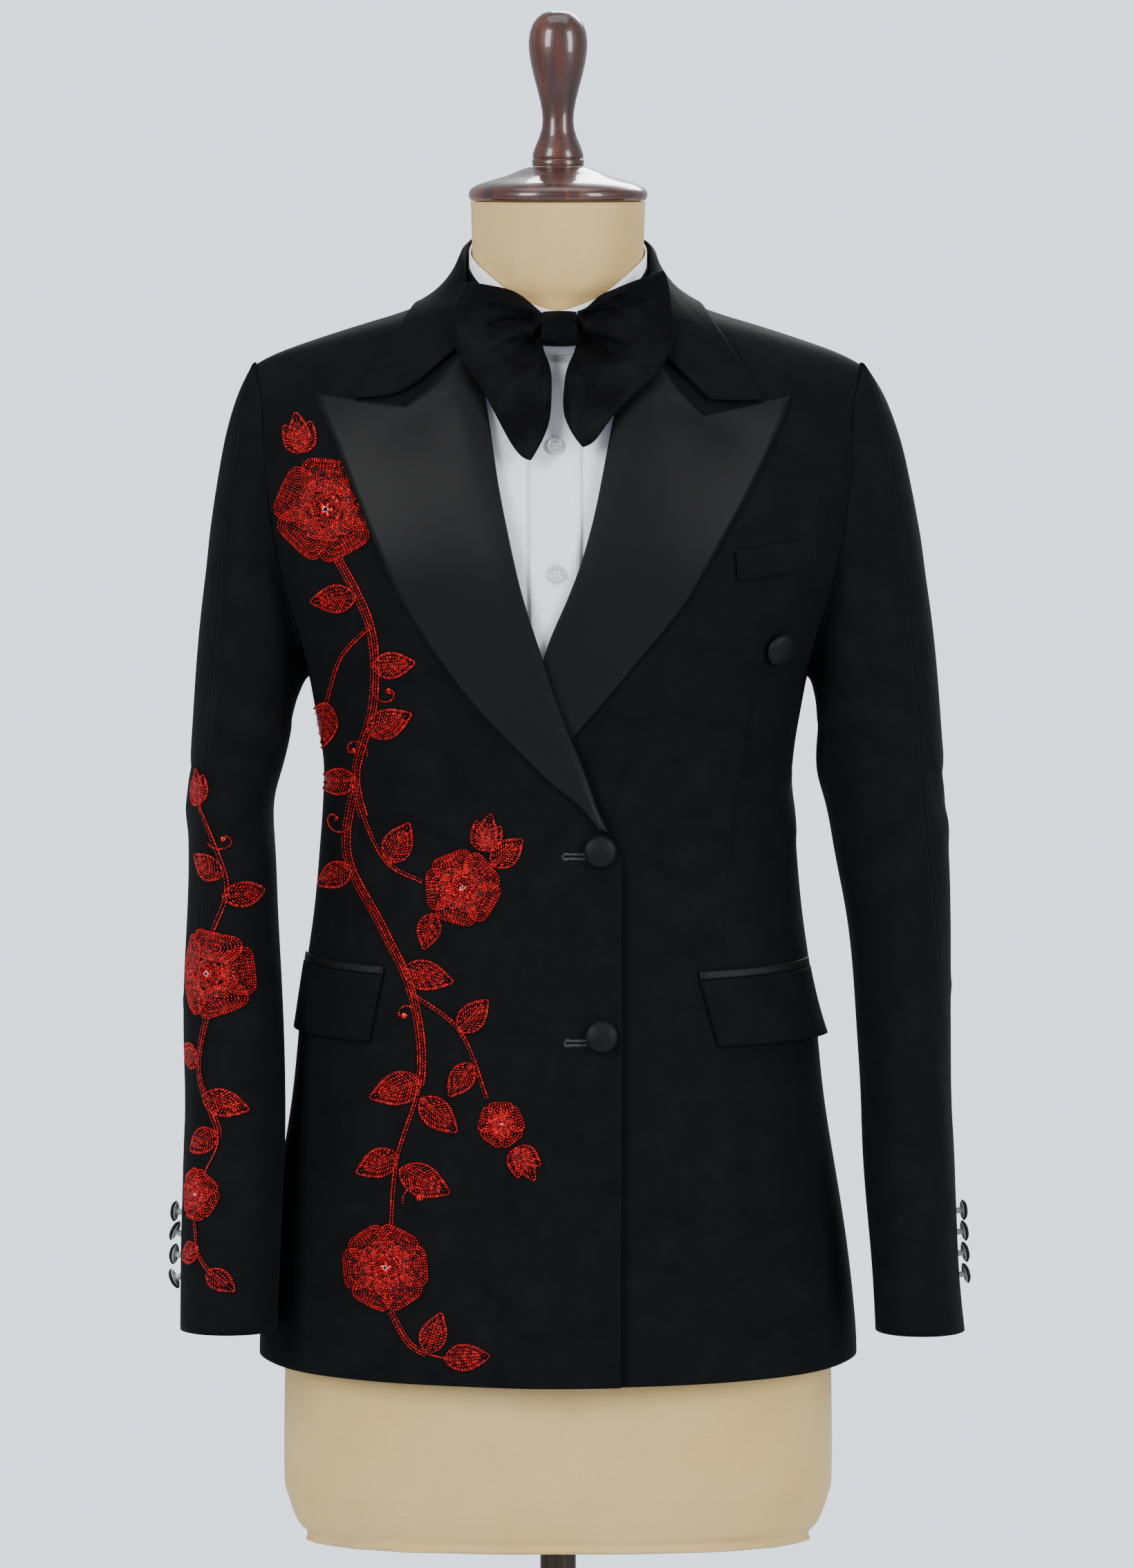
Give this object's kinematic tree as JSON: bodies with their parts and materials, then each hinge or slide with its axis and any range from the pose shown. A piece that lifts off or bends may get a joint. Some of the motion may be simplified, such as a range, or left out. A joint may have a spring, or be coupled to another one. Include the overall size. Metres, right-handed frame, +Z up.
{
  "type": "tuxedo on dress form",
  "caption": "Peak-lapel tuxedo jacket with satin facings over a shirt front and bow tie, worn by a limbless dress form on a pole and round base.",
  "frame": {"origin": "centre of the stand's base on the floor", "axes": "+Z up the pole and the neck, -Y the way the chest faces, +X to the wearer's left"},
  "size_m": [0.5434, 0.348, 1.681],
  "materials": {
    "wool": "matte black worsted wool",
    "satin": "black silk satin with a soft sheen",
    "covered_button": "button blank covered in black satin",
    "velvet": "black velvet, deep and matt",
    "shirt_cotton": "white cotton poplin",
    "shirt_button": "pearly polyester button",
    "form_linen": "natural linen stretched over a padded torso",
    "form_wood": "turned wood, dark red-brown lacquer",
    "stand_metal": "dark bronze enamel on steel"
  },
  "bodies": {
    "root": {"front_right": "wool", "front_left": "wool", "back_right": "wool", "back_left": "wool", "upper_sleeve_right": "wool", "under_sleeve_right": "wool", "upper_sleeve_left": "wool", "under_sleeve_left": "wool", "collar": "wool", "pocket_flap_right": "wool", "pocket_flap_left": "wool", "breast_welt": "wool", "lapel_right": "satin", "lapel_left": "satin", "pocket_jet_right": "satin", "pocket_jet_left": "satin", "front_button_top": "covered_button", "front_button_low": "covered_button", "chest_button": "covered_button", "cuff_button_right_1": "covered_button", "cuff_button_right_2": "covered_button", "cuff_button_right_3": "covered_button", "cuff_button_right_4": "covered_button", "cuff_button_left_1": "covered_button", "cuff_button_left_2": "covered_button", "cuff_button_left_3": "covered_button", "cuff_button_left_4": "covered_button", "bow_knot": "velvet", "bow_wing_right": "velvet", "bow_wing_left": "velvet", "tie_band": "velvet", "shirt_front_right": "shirt_cotton", "shirt_front_left": "shirt_cotton", "shirt_back": "shirt_cotton", "shirt_placket": "shirt_cotton", "shirt_collar": "shirt_cotton", "shirt_button_top": "shirt_button", "shirt_button_low": "shirt_button", "form_torso": "form_linen", "neck_cap": "form_wood", "finial": "form_wood", "pole": "stand_metal", "stand_base": "stand_metal"}
  },
  "joints": []
}
